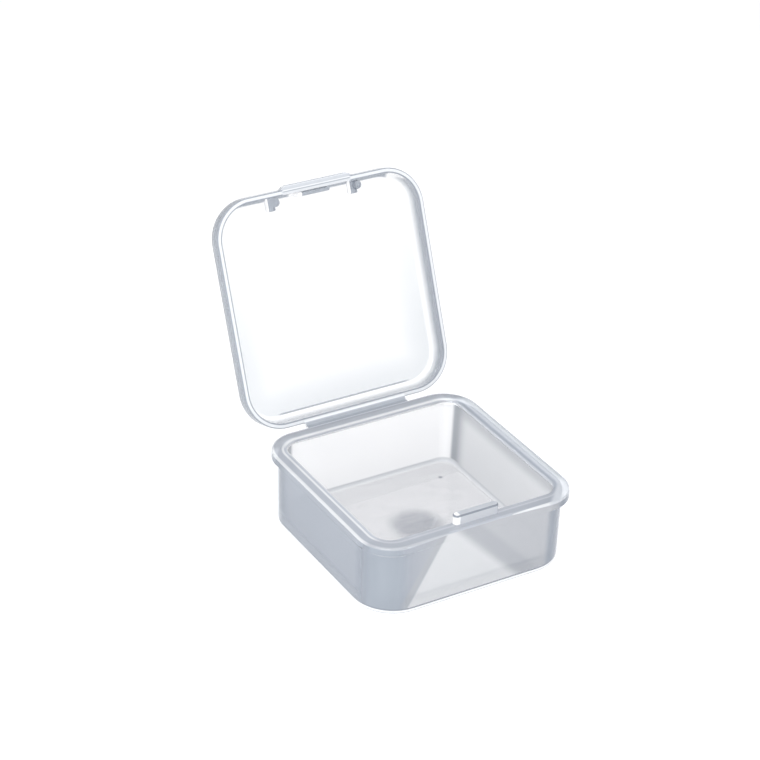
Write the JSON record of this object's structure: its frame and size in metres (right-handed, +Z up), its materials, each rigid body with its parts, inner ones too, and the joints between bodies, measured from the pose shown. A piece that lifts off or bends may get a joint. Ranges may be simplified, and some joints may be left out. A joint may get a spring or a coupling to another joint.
{
  "type": "individual lid bead organizer",
  "caption": "Small square translucent box with a hinged snap lid, a thumb tab and a latch bar, for sorting beads and small craft parts.",
  "frame": {"origin": "centre of the tray's flat underside", "axes": "+X to the right along the hinge, +Y from the latch towards the hinge, +Z up"},
  "size_m": [0.0532, 0.0783, 0.067],
  "materials": {
    "clear_polypropylene": "smooth translucent natural polypropylene"
  },
  "bodies": {
    "tray_body": {"tray": "clear_polypropylene", "latch_bar": "clear_polypropylene", "hinge_leaf_tray": "clear_polypropylene", "hinge_film": "clear_polypropylene"},
    "lid_body": {"lid": "clear_polypropylene", "hinge_leaf_lid": "clear_polypropylene", "thumb_tab": "clear_polypropylene", "latch_ridge": "clear_polypropylene", "lid_lug_left": "clear_polypropylene", "lid_lug_right": "clear_polypropylene"}
  },
  "joints": [
    {"name": "lid_hinge", "type": "hinge", "parent": "tray_body", "child": "lid_body", "pos_m": [0, 0.02715, 0.01705], "axis": [1, 0, 0], "range_deg": [-67.5, 112.5]}
  ]
}
